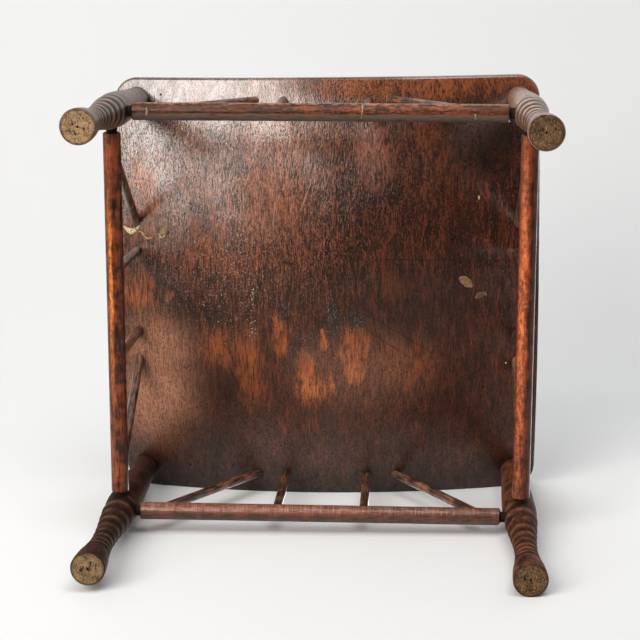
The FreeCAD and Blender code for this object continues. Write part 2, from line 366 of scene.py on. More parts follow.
# Dried glue and paint on the undersides: the piece it is on, its colour, and the run's path
# as X, Y and half width
GLUE_RUNS = {
    "glue_right_1": (
        "seat_board",
        GLUE,
        (
            (0.2010, 0.0655, 0.0006),
            (0.1976, 0.0626, 0.0020),
            (0.1936, 0.0608, 0.0030),
            (0.1901, 0.0614, 0.0026),
            (0.1865, 0.0642, 0.0014),
            (0.1838, 0.0670, 0.0005),
        ),
    ),
    "glue_right_2": (
        "seat_board",
        GLUE_ORANGE,
        (
            (0.1847, 0.0613, 0.0005),
            (0.1812, 0.0598, 0.0010),
            (0.1798, 0.0568, 0.0008),
            (0.1769, 0.0547, 0.0012),
            (0.1739, 0.0544, 0.0013),
            (0.1708, 0.0556, 0.0006),
        ),
    ),
    "glue_right_3": (
        "seat_board",
        GLUE_TAN,
        (
            (0.1556, 0.0723, 0.0012),
            (0.1574, 0.0668, 0.0026),
            (0.1594, 0.0617, 0.0034),
            (0.1610, 0.0582, 0.0022),
        ),
    ),
    "glue_right_4": (
        "seat_board",
        GLUE,
        (
            (0.1644, 0.0592, 0.0005),
            (0.1633, 0.0562, 0.0008),
            (0.1608, 0.0556, 0.0009),
            (0.1582, 0.0582, 0.0005),
        ),
    ),
    "glue_left_1": (
        "seat_board",
        GLUE_BROWN,
        (
            (-0.1328, 0.0160, 0.0022),
            (-0.1357, 0.0142, 0.0042),
            (-0.1392, 0.0112, 0.0044),
            (-0.1422, 0.0084, 0.0020),
        ),
    ),
    "glue_left_2": (
        "seat_board",
        GLUE_DARK,
        ((-0.1476, -0.0036, 0.0014), (-0.1509, -0.0014, 0.0032), (-0.1556, 0.0002, 0.0018)),
    ),
    "glue_left_3": ("seat_board", GLUE, ((-0.1564, 0.0000, 0.0008), (-0.1574, -0.0012, 0.0006))),
    "glue_left_4": ("seat_board", GLUE, ((-0.1498, 0.0952, 0.0008), (-0.1499, 0.0930, 0.0008))),
    "glue_left_5": ("seat_board", GLUE, ((-0.1779, -0.0718, 0.0008), (-0.1782, -0.0724, 0.0007))),
    "paint_back_1": (
        "stretcher_back",
        PAINT,
        ((-0.0410, 0.1950, 0.0012), (-0.0408, 0.1900, 0.0006), (-0.0398, 0.1835, 0.0005)),
    ),
    "paint_back_2": ("stretcher_back", PAINT, ((-0.1410, 0.1857, 0.0009), (-0.1410, 0.1820, 0.0006))),
    "paint_back_3": (
        "stretcher_back",
        PAINT,
        ((0.1527, 0.1935, 0.0009), (0.1519, 0.1911, 0.0011), (0.1530, 0.1865, 0.0005)),
    ),
}
# Thickness of a run, drops from one point of its path to the next, and lumps of its skin per metre
GLUE_THICKNESS = 0.0008
GLUE_STEPS = 6
GLUE_LUMPS = 700

# Roughness of every noise, rays that feel for shelter, and how open an unsheltered point is
NOISE_ROUGHNESS = 0.6
SHELTER_SAMPLES = 8
OPEN_AIR = 0.97
# Factors that leave out the Z of a vector
WITHOUT_Z = (1.0, 1.0, 0.0)
# How deep the vertices of a turned piece's end face lie at most
END_FACE_DEPTH = 0.0005


class Tree:
    """The nodes of one material, added and wired with short calls."""

    def __init__(self, name):
        self.material = bpy.data.materials.new(name)
        self.material.use_nodes = True
        self.nodes = self.material.node_tree.nodes
        self.links = self.material.node_tree.links
        self.shader = self.nodes["Principled BSDF"]

    def put(self, socket, value):
        """Gives a socket a plain value, or links another socket to it."""
        if isinstance(value, bpy.types.NodeSocket):
            self.links.new(value, socket)
        else:
            socket.default_value = value

    def node(self, kind, settings, *inputs):
        """Adds a node with its settings and, in order, its inputs; None leaves an input alone."""
        node = self.nodes.new(kind)
        for key, value in settings.items():
            setattr(node, key, value)
        for socket, value in zip(node.inputs, inputs):
            if value is not None:
                self.put(socket, value)
        return node

    def math(self, operation, *values):
        return self.node("ShaderNodeMath", {"operation": operation}, *values).outputs[0]

    def times(self, first, second):
        return self.math("MULTIPLY", first, second)

    def total(self, *shares):
        """The sum of some values, each times its share."""
        result = 0.0
        for value, share in shares:
            result = self.math("ADD", result, self.times(value, share))
        return result

    def vector(self, operation, *values):
        node = self.node("ShaderNodeVectorMath", {"operation": operation}, *values)
        return node.outputs["Value" if operation in ("LENGTH", "DOT_PRODUCT") else "Vector"]

    def ramp(self, value, low, high, least=0.0, most=1.0):
        """A soft step from least to most while the value goes from low to high."""
        settings = {"interpolation_type": "SMOOTHSTEP"}
        return self.node("ShaderNodeMapRange", settings, value, low, high, least, most).outputs[0]

    def noise(self, place, size, detail=3.0, seed=0.0, output=0):
        """Smooth noise whose lumps are about the given size; output 1 has one for each axis."""
        node = self.node("ShaderNodeTexNoise", {"noise_dimensions": "4D"})
        self.put(node.inputs["Vector"], place)
        node.inputs["W"].default_value = seed
        node.inputs["Scale"].default_value = 1 / size
        node.inputs["Detail"].default_value = detail
        node.inputs["Roughness"].default_value = NOISE_ROUGHNESS
        return node.outputs[output]

    def drawn(self, place, share, size, detail, seed, axis=1):
        """Noise drawn out along an axis: the lumps' width is a share of their length."""
        stretch = [1.0, 1.0, 1.0]
        stretch[axis] = share
        return self.noise(self.vector("MULTIPLY", place, stretch), size, detail, seed)

    def pushed(self, place, source, size, detail, seed, reach):
        """A place pushed about by noise at a source place, by up to the reach each way."""
        push = self.scaled(self.noise(source, size, detail, seed, output=1), 2 * reach)
        return self.vector("SUBTRACT", self.vector("ADD", place, push), (reach, reach, reach))

    def mix(self, factor, first, second):
        """A colour between two, through the node's sockets for colours."""
        node = self.node("ShaderNodeMix", {"data_type": "RGBA"})
        self.put(node.inputs[0], factor)
        self.put(node.inputs[6], first)
        self.put(node.inputs[7], second)
        return node.outputs[2]

    def place(self):
        """The point of the surface in the part's own frame."""
        return self.nodes.new("ShaderNodeTexCoord").outputs["Object"]

    def normal(self):
        return self.nodes.new("ShaderNodeNewGeometry").outputs["Normal"]

    def part_of(self, vector, axis):
        """One of the X, Y and Z of a vector."""
        return self.node("ShaderNodeSeparateXYZ", {}, vector).outputs[axis]

    def patches(self, place, spots):
        """1 inside ovals over the seat, 0 outside them, each with its strength and soft edge."""
        result = 0.0
        for middle, half, strength, soft in spots:
            offset = self.vector("SUBTRACT", place, (*middle, 0.0))
            flat = self.vector("MULTIPLY", offset, (1 / half[0], 1 / half[1], 0.0))
            inside = self.ramp(self.vector("LENGTH", flat), 1 + soft, 1 - soft, 0.0, strength)
            result = self.math("MAXIMUM", result, inside)
        return result

    def stroke(self, place, start, end, half_width):
        """1 on a straight line over the seat, 0 beside it."""
        run = Vector((end[0] - start[0], end[1] - start[1], 0.0))
        offset = self.vector("SUBTRACT", place, (*start, 0.0))
        offset = self.vector("MULTIPLY", offset, WITHOUT_Z)
        share = self.vector("DOT_PRODUCT", offset, run / run.length_squared)
        share = self.math("MINIMUM", self.math("MAXIMUM", share, 0.0), 1.0)
        step = self.node("ShaderNodeVectorMath", {"operation": "SCALE"}, run)
        self.put(step.inputs["Scale"], share)
        aside = self.vector("LENGTH", self.vector("SUBTRACT", offset, step.outputs["Vector"]))
        return self.ramp(aside, half_width, half_width / 3)

    def shelter(self, distance, deep):
        """How hidden a point is among the surfaces around it, from 0 to 1 where it is deep; it sets
        where shade is painted.
        """
        node = self.node("ShaderNodeAmbientOcclusion", {"samples": SHELTER_SAMPLES})
        node.inputs["Distance"].default_value = distance
        return self.ramp(node.outputs["AO"], OPEN_AIR, deep)

    def scaled(self, vector, factor):
        node = self.node("ShaderNodeVectorMath", {"operation": "SCALE"}, vector)
        node.inputs["Scale"].default_value = factor
        return node.outputs["Vector"]

    def varnish(self, weight, roughness, index, wood_gloss):
        """A coat of varnish, over wood with some gloss of its own."""
        self.put(self.shader.inputs["Coat Weight"], weight)
        self.shader.inputs["Coat Roughness"].default_value = roughness
        self.shader.inputs["Coat IOR"].default_value = index
        self.shader.inputs["Specular IOR Level"].default_value = wood_gloss

    def finish(self, colour, roughness, height, depth):
        """Wires colour, roughness and a relief of the given depth to the shader."""
        self.put(self.shader.inputs["Base Color"], colour)
        self.put(self.shader.inputs["Roughness"], roughness)
        bump = self.nodes.new("ShaderNodeBump")
        bump.inputs["Distance"].default_value = depth
        self.put(bump.inputs["Height"], height)
        self.put(self.shader.inputs["Normal"], bump.outputs["Normal"])
        self.put(self.shader.inputs["Coat Normal"], bump.outputs["Normal"])
        return self.material


class SeatSurface:
    """The noises and masks that the seat's stain, wear and varnish share."""

    def __init__(self, tree):
        self.place = tree.place()

        # Grain drawn out along Y, which sways a little, and clouds over it
        swayed = tree.pushed(self.place, self.place, size=0.10, detail=2.0, seed=0.0, reach=0.008)
        self.hair = tree.drawn(swayed, share=0.42, size=0.0009, detail=1.0, seed=2.0)
        self.thread = tree.drawn(swayed, share=0.07, size=0.00085, detail=1.0, seed=1.0)
        self.fine = tree.math("ADD", self.thread, self.hair)
        self.streak = tree.drawn(swayed, share=0.14, size=0.0022, detail=2.0, seed=4.0)
        self.band = tree.drawn(swayed, share=0.25, size=0.0060, detail=3.0, seed=5.0)
        self.redness = tree.drawn(swayed, share=0.06, size=0.0060, detail=3.0, seed=6.0)
        self.cloud = tree.drawn(self.place, share=0.6, size=0.030, detail=3.0, seed=2.0)
        self.mottle = tree.drawn(self.place, share=0.5, size=0.011, detail=5.0, seed=8.0)

        # How clear the grain is, less towards the front, and what of the seat faces down
        self.clear = tree.ramp(tree.part_of(self.place, 1), -0.08, 0.04, 0.50, 1.0)
        self.under = tree.ramp(tree.part_of(tree.normal(), 2), 0.0, -0.3)

        # Places that give patches ragged edges and lines unsteady ones
        torn = tree.vector("MULTIPLY", self.place, (1.0, 0.3, 1.0))
        self.ragged = tree.pushed(self.place, torn, size=0.006, detail=5.0, seed=3.0, reach=0.014)
        self.unsteady = tree.pushed(
            self.place, self.place, size=0.018, detail=2.0, seed=7.0, reach=0.002
        )

        # Wear that is broken up by the grain, and pale wear with a painted sheen that shows it
        broken = tree.total((self.streak, 0.35), (self.mottle, 0.40), (self.thread, 0.25))
        self.broken = tree.times(self.under, tree.ramp(broken, 0.40, 0.57, 0.12, 1.0))
        self.worn = tree.times(tree.patches(self.ragged, WORN_PATCHES), self.broken)
        grained = tree.times(self.under, tree.ramp(self.fine, 0.78, 1.16, 0.45, 1.0))
        self.pale = tree.times(tree.patches(self.place, PALE_WEAR_AND_SHEEN_PATCHES), grained)

        # Blisters, some over an area and more along lines
        blistered = tree.patches(self.place, BLISTER_PATCHES)
        for start, end in BLISTER_LINES:
            line = tree.stroke(self.unsteady, start, end, BLISTER_HALF_WIDTH)
            blistered = tree.math("MAXIMUM", blistered, line)
        lumps = tree.drawn(self.place, share=0.8, size=0.0015, detail=2.0, seed=4.0)
        bubbles = tree.ramp(lumps, 0.60, 0.72)
        self.blister = tree.times(bubbles, tree.times(blistered, self.under))


def seat_stain(tree, seat):
    """Brown streaks in dark stain, with some red, fainter towards the front."""
    tone = tree.total(
        (seat.thread, 0.36),
        (seat.streak, 0.13),
        (seat.hair, 0.36),
        (seat.band, 0.14),
        (seat.cloud, 0.16),
        (seat.mottle, 0.22),
    )
    tone = tree.times(tree.math("SUBTRACT", tone, SEAT_MEAN_TONE), seat.clear)
    tone = tree.math("ADD", tone, tree.ramp(seat.clear, 1.0, 0.50, 0.0, 0.014))
    colour = tree.mix(tree.ramp(tone, -0.045, 0.13), DARK_STAIN, BROWN_STAIN)
    red = tree.ramp(seat.redness, 0.52, 0.62)
    red = tree.times(red, tree.ramp(seat.streak, 0.42, 0.62, 0.05, 0.5))
    return tree.mix(red, colour, RED_STAIN)


def seat_wear(tree, seat, colour):
    """Worn patches, pale wear with a painted sheen, dark stain with painted shadow, a dusty film with
    a painted floor reflection, soot with painted glints, open pores and painted glints on the grain.
    """
    colour = tree.mix(seat.worn, colour, WORN_ORANGE)
    colour = tree.mix(seat.pale, colour, PALE_WEAR_AND_HIGHLIGHT)
    layers = (
        (HAZE_PATCHES, seat.broken, HAZE),
        # Dark stain and painted shadow
        (DARK_STAIN_AND_SHADOW_PATCHES, seat.under, DARK_STAIN),
        # A dusty film with the painted reflection of the floor
        (DUST_AND_REFLECTION_PATCHES, seat.under, DUST_AND_FLOOR_REFLECTION),
    )
    for patches, mask, tint in layers:
        colour = tree.mix(tree.times(tree.patches(seat.ragged, patches), mask), colour, tint)
    soot = tree.times(tree.patches(seat.ragged, SOOT_PATCHES), seat.broken)
    soot = tree.times(soot, tree.ramp(seat.fine, 0.80, 1.05, 0.4, 1.0))
    colour = tree.mix(soot, colour, SOOT)

    # Pores, shallower towards the photograph's right and in the pale wear and painted sheen, then
    # painted glints on the grain
    shown = tree.math("MAXIMUM", seat.clear, seat.worn)
    pores = tree.times(tree.ramp(seat.fine, 1.06, 0.74), shown)
    deep = tree.ramp(tree.part_of(seat.place, 0), -0.04, 0.10, 0.50, 0.60)
    deep = tree.math("SUBTRACT", deep, tree.times(seat.pale, 0.5))
    pores = tree.math("MAXIMUM", tree.times(pores, deep), 0.0)
    colour = tree.mix(pores, colour, PORE)
    # Painted glints on the grain where the sheen lies
    lit_and_rubbed = tree.times(tree.patches(seat.place, GRAIN_GLINT_PATCHES), seat.under)
    lit_and_rubbed = tree.times(lit_and_rubbed, tree.ramp(seat.fine, 0.98, 1.28))
    colour = tree.mix(lit_and_rubbed, colour, GRAIN_GLINT)
    # Painted glints on the soot
    glint = tree.times(tree.ramp(seat.hair, 0.53, 0.70), soot)
    return tree.mix(glint, colour, SOOT_GLINT)


def seat_marks(tree, seat, colour):
    """Painted glints on blisters, scratches, cracks, the seam, and painted shade where the seat is
    sheltered.
    """
    # Painted glints on the blisters
    colour = tree.mix(tree.times(seat.blister, 0.6), colour, BLISTER_GLINT)
    lines = [(ends, SCRATCH_HALF_WIDTH, seat.broken, 0.5, SCRATCH) for ends in SCRATCHES]
    lines += [(ends, CRACK_HALF_WIDTH, seat.under, 0.6, GRIME_AND_SHADE) for ends in CRACKS]
    for ends, half_width, mask, strength, tint in lines:
        line = tree.times(tree.stroke(seat.unsteady, *ends, half_width), mask)
        colour = tree.mix(tree.times(line, strength), colour, tint)
    seam = tree.times(tree.stroke(seat.place, *SEAM, SEAM_HALF_WIDTH), seat.under)
    colour = tree.mix(tree.times(seam, 0.5), colour, GRIME_AND_SHADE)
    # Painted shade where the legs, spindles and stretchers shelter the seat
    return tree.mix(tree.times(tree.shelter(distance=0.045, deep=0.40), 0.75), colour, GRIME_AND_SHADE)


def seat_varnish(tree, seat):
    """How rough the seat's wood is, and how much varnish is left on it."""
    whole = tree.ramp(tree.part_of(seat.ragged, 1), VARNISH_EDGE[1], VARNISH_EDGE[0])
    roughness = tree.math("SUBTRACT", 0.52, tree.times(whole, 0.22))
    varnish = tree.ramp(whole, 0.0, 1.0, 0.10, 1.0)
    front = tree.ramp(tree.part_of(seat.place, 1), *FRONT_VARNISH, 0.0, 0.32)
    varnish = tree.math("MAXIMUM", varnish, tree.times(front, seat.under))

    # Sunken into the pores, less so at the back rim, and dull where the seat is worn
    sunken = tree.ramp(tree.part_of(seat.place, 1), 0.17, 0.20, 1.0, 0.3)
    sunken = tree.times(sunken, tree.ramp(seat.fine, 0.76, 1.02, 0.85, 0.0))
    varnish = tree.times(varnish, tree.math("SUBTRACT", 1.0, sunken))
    varnish = tree.times(varnish, tree.ramp(seat.band, 0.36, 0.60, 0.7, 1.0))
    dull = tree.math("MAXIMUM", tree.times(seat.worn, 0.5), tree.patches(seat.ragged, DULL_PATCHES))
    return roughness, tree.times(varnish, tree.math("SUBTRACT", 1.0, dull))


def seat_material():
    """Varnished board with fine streaky grain, worn and sooty on its underside."""
    tree = Tree("seat_wood")
    seat = SeatSurface(tree)
    colour = seat_stain(tree, seat)
    colour = seat_wear(tree, seat, colour)
    colour = seat_marks(tree, seat, colour)
    roughness, varnish = seat_varnish(tree, seat)
    relief = tree.total((seat.fine, 1.0), (seat.streak, 0.8), (seat.blister, 1.5))
    tree.varnish(varnish, roughness=0.19, index=2.1, wood_gloss=0.2)
    tree.shader.inputs["Specular Tint"].default_value = WARM_GLOSS
    return tree.finish(colour, roughness, relief, depth=0.00016)


def axis_ends(node):
    """Middles of the two end faces of a straight turned piece."""
    points = np.array([vertex.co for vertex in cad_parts[node].data.vertices])
    middle = points.mean(axis=0)
    along = np.linalg.svd(points - middle, full_matrices=False)[2][0]
    run = (points - middle) @ along
    low = points[run < run.min() + END_FACE_DEPTH].mean(axis=0)
    high = points[run > run.max() - END_FACE_DEPTH].mean(axis=0)
    return Vector(low), Vector(high)


def turned_place(tree, node):
    """The surface point in a turned piece's own frame, with Z along it, and that frame's rotation."""
    low, high = axis_ends(node)
    turn = (high - low).to_track_quat("Z", "Y")
    settings = {"vector_type": "TEXTURE"}
    mapping = tree.node("ShaderNodeMapping", settings, tree.place(), low, turn.to_euler())
    return mapping.outputs[0], turn


def turned_grain(tree, place, seed):
    """Streaks along a turned piece and fine rings left by the lathe."""
    streak = tree.drawn(place, share=0.10, size=0.0013, detail=4.0, seed=seed, axis=2)
    squeezed = tree.vector("MULTIPLY", place, (0.05, 0.05, 1.0))
    rings = tree.noise(squeezed, size=0.0011, detail=2.0, seed=seed)
    return streak, rings


def grooves(tree, place):
    """1 in the turned grooves of a leg, and 1 on the crests of the rings between them."""
    fall = tree.math("SUBTRACT", GROOVE_TOP, tree.part_of(place, 2))
    left = tree.math("SUBTRACT", 1.0, tree.times(fall, (1 - GROOVE_SHARE) / GROOVE_PITCH))
    count = tree.math("LOGARITHM", tree.math("MAXIMUM", left, 0.01), GROOVE_SHARE)
    aside = tree.math("ABSOLUTE", tree.math("SUBTRACT", count, tree.math("ROUND", count)))
    ringed = tree.math("LESS_THAN", count, GROOVE_COUNT - 0.5)
    ringed = tree.times(ringed, tree.math("GREATER_THAN", count, -0.5))
    groove = tree.times(tree.ramp(aside, 0.34, 0.10), ringed)
    crest = tree.times(tree.ramp(aside, 0.30, 0.46), ringed)
    return groove, crest


def bare_foot(tree, finish, place, seed):
    """The bare end grain under a foot: where it shows, its colour and its cracks."""
    face = tree.place()
    floor_side = tree.ramp(tree.part_of(tree.normal(), 2), -0.80, -0.95)
    sole = tree.times(floor_side, tree.ramp(tree.part_of(face, 2), 0.002, 0.0005))
    fibre = tree.noise(face, size=0.0012, detail=5.0, seed=seed + 3)
    stains = tree.noise(face, size=0.006, detail=4.0, seed=seed + 7)
    tone = tree.total((fibre, 0.7), (stains, 0.5))
    bare = tree.mix(tree.ramp(tone, 0.46, 0.72), *finish["end"])
    flakes = tree.drawn(face, share=0.5, size=0.0009, detail=2.0, seed=seed + 9)
    bare = tree.mix(tree.ramp(flakes, 0.60, 0.72, 0.0, 0.55), bare, PALE_FIBRE)
    from_axis = tree.vector("LENGTH", tree.vector("MULTIPLY", place, WITHOUT_Z))
    bend = tree.scaled(tree.noise(face, size=0.004, detail=2.0, seed=seed, output=1), 0.004)
    bent = tree.vector("ADD", face, bend)
    split = tree.drawn(bent, share=0.4, size=0.0020, detail=2.0, seed=seed + 5)
    cracks = tree.times(tree.ramp(split, 0.43, 0.37), tree.ramp(from_axis, 0.014, 0.005))
    bare = tree.mix(cracks, bare, GRIME_AND_SHADE)
    bare = tree.mix(tree.ramp(from_axis, 0.0120, 0.0142, 0.0, 0.6), bare, GRIME_AND_SHADE)
    return sole, bare, cracks


def leg_material(node, seed):
    """Dark turned leg: painted shade in the grooves and where it is sheltered, crests paled as
    painted highlight and wear, bare end grain under the foot.
    """
    tree = Tree(f"{node}_wood")
    finish = LEG_FINISH[node]
    place, _ = turned_place(tree, node)
    streak, rings = turned_grain(tree, place, seed)
    blotch = tree.noise(place, size=0.010, detail=4.0, seed=seed)
    groove, crest = grooves(tree, place)
    tone = tree.total((blotch, 0.5), (streak, 0.3), (rings, 0.2))
    colour = tree.mix(tree.ramp(tone, 0.40, 0.62), *finish["stain"])
    # Crests paled: painted highlight, partly wear
    crest = tree.times(crest, tree.ramp(blotch, 0.38, 0.58, 0.3, 1.0))
    colour = tree.mix(tree.times(crest, finish["crest"]), colour, CREST_WEAR_AND_HIGHLIGHT)
    # Painted shade in the grooves, broken up by the blotches
    grime = finish["grime"]
    groove = tree.times(groove, tree.ramp(blotch, 0.36, 0.60, 0.6 * grime, grime))
    colour = tree.mix(groove, colour, GRIME_AND_SHADE)
    # Painted shade where the leg is sheltered
    colour = tree.mix(tree.times(tree.shelter(distance=0.010, deep=0.5), 0.8), colour, GRIME_AND_SHADE)
    sole, bare, cracks = bare_foot(tree, finish, place, seed)
    colour = tree.mix(sole, colour, bare)

    sheen = tree.ramp(streak, 0.35, 0.65, 0.40 + finish["rough"], 0.52 + finish["rough"])
    roughness = tree.math("MAXIMUM", sheen, tree.times(sole, 0.9))
    relief = tree.total((streak, 0.4), (rings, 0.6))
    relief = tree.math("SUBTRACT", relief, tree.times(tree.times(cracks, sole), 2.0))
    gloss = finish["gloss"]
    varnish = tree.ramp(streak, 0.35, 0.60, 0.5 * gloss, gloss)
    varnish = tree.times(varnish, tree.math("SUBTRACT", 1.0, tree.math("MAXIMUM", sole, groove)))
    tree.varnish(varnish, roughness=0.27, index=1.8, wood_gloss=finish["wood_gloss"])
    return tree.finish(colour, roughness, relief, depth=0.0003)


def lit_and_rubbed_side(tree, finish, place, turn, blotch):
    """How far a stretcher's surface faces the lamps, and where that side is painted lighter, partly
    wear.
    """
    inward = turn.inverted() @ finish["side"]
    outward = tree.vector("NORMALIZE", tree.vector("MULTIPLY", place, WITHOUT_Z))
    wavy = tree.times(tree.math("SUBTRACT", blotch, 0.5), 0.5)
    facing = tree.math("ADD", tree.vector("DOT_PRODUCT", outward, inward), wavy)
    lit_and_rubbed = tree.times(tree.ramp(facing, *finish["begin"]), tree.ramp(facing, *finish["stop"]))
    axis, start, end, fade, least = finish["reach"]
    along = tree.part_of(tree.place(), axis)
    lit_and_rubbed = tree.times(lit_and_rubbed, tree.ramp(along, start - fade, start + fade, least, 1.0))
    lit_and_rubbed = tree.times(lit_and_rubbed, tree.ramp(along, end + fade, end - fade, least, 1.0))
    return facing, lit_and_rubbed


def stretcher_material(node, seed):
    """Red-brown stretcher with lathe rings, painted lighter orange on the side facing the lamps,
    partly wear, and painted dark at its tenons as shade.
    """
    tree = Tree(f"{node}_wood")
    finish = STRETCHER_FINISH[node]
    place, turn = turned_place(tree, node)
    streak, rings = turned_grain(tree, place, seed)
    blotch = tree.noise(place, size=0.012, detail=4.0, seed=seed)
    tone = tree.total((blotch, 0.6), (streak, 0.5))
    colour = tree.mix(tree.ramp(tone, 0.45, 0.68), *finish["stain"])

    facing, lit_and_rubbed = lit_and_rubbed_side(tree, finish, place, turn, blotch)
    flecks = tree.drawn(place, share=0.45, size=0.0020, detail=4.0, seed=seed + 2, axis=2)
    flames = tree.drawn(place, share=finish["draw"], size=0.0045, detail=3.0, seed=seed + 4, axis=2)
    patchy = tree.total((flecks, 0.6), (flames, 0.5))
    patchy = tree.ramp(patchy, *finish["flame"], finish["even"], 1.0)
    # The side facing the lamps is painted lighter orange: painted light, partly wear
    colour = tree.mix(tree.times(lit_and_rubbed, patchy), colour, finish["lit_and_rubbed"])
    # A painted highlight along the edge that faces the lamps
    edge = tree.times(tree.ramp(facing, 0.76, 0.92), tree.ramp(flecks, 0.40, 0.56))
    colour = tree.mix(tree.times(edge, finish["rim"]), colour, PALE_WEAR_AND_HIGHLIGHT)
    # A grey film on the side facing the floor: painted reflection of the floor, with dust
    film = tree.times(tree.ramp(facing, *reversed(finish["begin"])), finish["dust_and_reflection"])
    film = tree.times(film, tree.ramp(streak, 0.30, 0.60, 0.6, 1.0))
    colour = tree.mix(film, colour, DUST_AND_FLOOR_REFLECTION)
    colour = tree.mix(tree.times(tree.ramp(streak, 0.46, 0.36), 0.3), colour, PORE)
    furrows = tree.ramp(rings, 0.50, 0.36)
    colour = tree.mix(tree.times(furrows, 0.7 * finish["rings"]), colour, PORE)
    # Painted glints on the lathe rings on the side that faces the lamps
    ring_glints = tree.times(tree.ramp(rings, 0.52, 0.64), tree.ramp(facing, 0.2, 0.6))
    colour = tree.mix(tree.times(ring_glints, 0.6 * finish["rings"]), colour, PALE_WEAR_AND_HIGHLIGHT)

    # The tenons are painted near-black as the shade in the shoulder gaps
    radius = tree.vector("LENGTH", tree.vector("MULTIPLY", place, WITHOUT_Z))
    shaded_tenon = tree.ramp(radius, TENON_RADIUS + TENON_MARGIN, TENON_RADIUS)
    colour = tree.mix(shaded_tenon, colour, GRIME_AND_SHADE)
    # Painted shade where the stretcher is sheltered
    colour = tree.mix(tree.times(tree.shelter(distance=0.010, deep=0.5), 0.9), colour, GRIME_AND_SHADE)
    sheen = tree.ramp(streak, 0.35, 0.65, 0.32, 0.46)
    roughness = tree.math("ADD", sheen, tree.times(shaded_tenon, 0.4))
    relief = tree.total((streak, 0.3), (flecks, 0.3), (rings, finish["rings"]))
    clean = tree.math("SUBTRACT", 1.0, film)
    polish = tree.times(clean, tree.ramp(flecks, 0.38, 0.58, 0.2, 1.0))
    polish = tree.times(polish, tree.math("SUBTRACT", finish["gloss"], shaded_tenon))
    tree.varnish(tree.math("MAXIMUM", polish, 0.0), roughness=0.20, index=1.9, wood_gloss=0.2)
    tree.shader.inputs["Specular Tint"].default_value = WARM_GLOSS
    return tree.finish(colour, roughness, relief, depth=0.0004)


def spindle_material(node, seed):
    """Thin dark spindle, lighter where it is worn, with painted shade where it is sheltered."""
    tree = Tree(f"{node}_wood")
    place, _ = turned_place(tree, node)
    streak, rings = turned_grain(tree, place, seed)
    blotch = tree.noise(place, size=0.014, detail=4.0, seed=seed)
    tone = tree.total((blotch, 0.6), (streak, 0.5))
    colour = tree.mix(tree.ramp(tone, 0.48, 0.70), DARK_STAIN, SPINDLE_BROWN)
    colour = tree.mix(tree.times(tree.ramp(streak, 0.46, 0.36), 0.6), colour, PORE)
    # Painted shade where the spindle is sheltered
    colour = tree.mix(tree.times(tree.shelter(distance=0.010, deep=0.4), 0.8), colour, GRIME_AND_SHADE)
    roughness = tree.ramp(streak, 0.35, 0.65, 0.34, 0.48)
    relief = tree.total((streak, 0.6), (rings, 0.4))
    varnish = tree.ramp(streak, 0.36, 0.60, 0.2, 0.8)
    tree.varnish(varnish, roughness=0.28, index=1.8, wood_gloss=0.3)
    return tree.finish(colour, roughness, relief, depth=0.00025)


def glue_material(name, colour):
    """Dried glue, clouded and a little glossy."""
    tree = Tree(f"{name}_drop")
    place = tree.place()
    cloud = tree.noise(place, size=0.0018, detail=4.0)
    shade = tree.mix(tree.ramp(cloud, 0.36, 0.58), GLUE_DARK, colour)
    roughness = tree.ramp(cloud, 0.35, 0.65, 0.30, 0.50)
    return tree.finish(shade, roughness, cloud, depth=0.0003)


def under_side(node, x, y):
    """The point of a piece's underside above a place on the floor, and its outward direction."""
    _, point, normal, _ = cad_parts[node].ray_cast(Vector((x, y, 0.0)), Vector((0.0, 0.0, 1.0)))
    return point, normal


def make_glue(name, node, colour, path):
    """A run of dried glue on the underside of a piece, melted together from flat drops."""
    drops = bmesh.new()
    for start, end in zip(path, path[1:]):
        for step in range(GLUE_STEPS + 1):
            x, y, radius = Vector(start).lerp(Vector(end), step / GLUE_STEPS)
            point, normal = under_side(node, x, y)
            turn = normal.to_track_quat("Z", "Y").to_matrix().to_4x4()
            size = Matrix.Diagonal((radius, radius, min(radius, GLUE_THICKNESS), 1.0))
            drop = bmesh.ops.create_icosphere(drops, subdivisions=3, radius=1.0)
            seated = Matrix.Translation(point) @ turn @ size
            bmesh.ops.transform(drops, matrix=seated, verts=drop["verts"])
    mesh = bpy.data.meshes.new(name)
    drops.to_mesh(mesh)
    drops.free()
    piece = bpy.data.objects.new(name, mesh)
    bpy.context.scene.collection.objects.link(piece)
    melt = piece.modifiers.new("melt", "REMESH")
    melt.mode = "VOXEL"
    melt.voxel_size = GLUE_THICKNESS / 4
    ready = piece.evaluated_get(bpy.context.evaluated_depsgraph_get())
    melted = bpy.data.meshes.new_from_object(ready)
    piece.modifiers.clear()
    piece.data = melted
    for vertex in melted.vertices:
        vertex.co += vertex.normal * noise.noise(vertex.co * GLUE_LUMPS) * GLUE_THICKNESS / 3
    melted.polygons.foreach_set("use_smooth", [True] * len(melted.polygons))
    melted.materials.clear()
    melted.materials.append(glue_material(name, colour))
    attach(piece, "root")


def dress(node, material):
    """Gives a CAD node its material."""
    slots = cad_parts[node].data.materials
    slots.clear()
    slots.append(material)


def one_sided(tree, colour, faded=0.0):
    """A pale matt stage that is see-through from behind and where it has faded."""
    tree.put(tree.shader.inputs["Base Color"], colour)
    tree.put(tree.shader.inputs["Roughness"], STAGE_ROUGHNESS)
    clear = tree.nodes.new("ShaderNodeBsdfTransparent")
    blend = tree.nodes.new("ShaderNodeMixShader")
    behind = tree.nodes.new("ShaderNodeNewGeometry").outputs["Backfacing"]
    tree.put(blend.inputs[0], tree.math("MAXIMUM", behind, faded))
    tree.put(blend.inputs[1], tree.shader.outputs[0])
    tree.put(blend.inputs[2], clear.outputs[0])
    tree.put(tree.nodes["Material Output"].inputs["Surface"], blend.outputs[0])
    return tree.material


